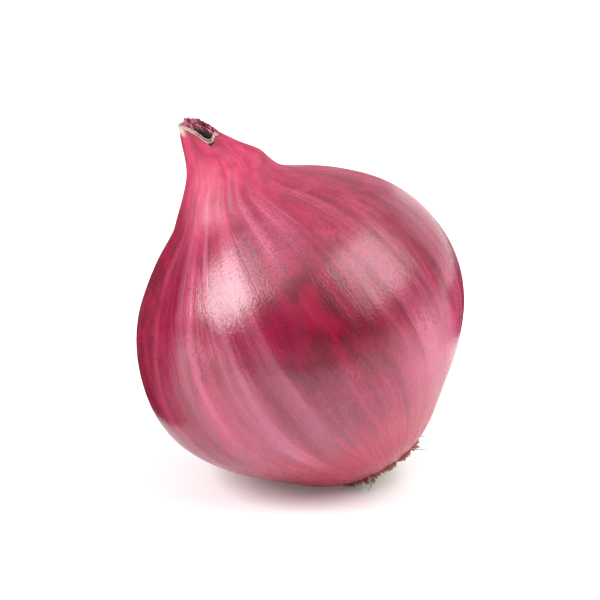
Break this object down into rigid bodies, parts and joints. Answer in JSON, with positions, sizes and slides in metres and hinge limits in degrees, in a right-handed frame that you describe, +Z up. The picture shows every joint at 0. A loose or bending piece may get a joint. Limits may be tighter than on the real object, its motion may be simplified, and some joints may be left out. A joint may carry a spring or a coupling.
{
  "type": "red onion",
  "caption": "Whole red onion bulb with a drawn-out dry neck, leaning on a small flat spot of its skin; a root vegetable for kitchen, market and still-life scenes.",
  "frame": {"origin": "middle of the small flat spot of skin that the onion rests on", "axes": "+Z up and -Z square out of the flat spot; the bulb's neck leans 29 degrees from +Z, nearly towards -X, and the view's side is -Y"},
  "size_m": [0.069, 0.0719, 0.0781],
  "materials": {
    "onion_skin": "satin",
    "neck_fibre": "matte",
    "root_plate": "matte",
    "root_fibre": "matte"
  },
  "bodies": {
    "root": {"onion_bulb": "onion_skin"}
  },
  "joints": []
}
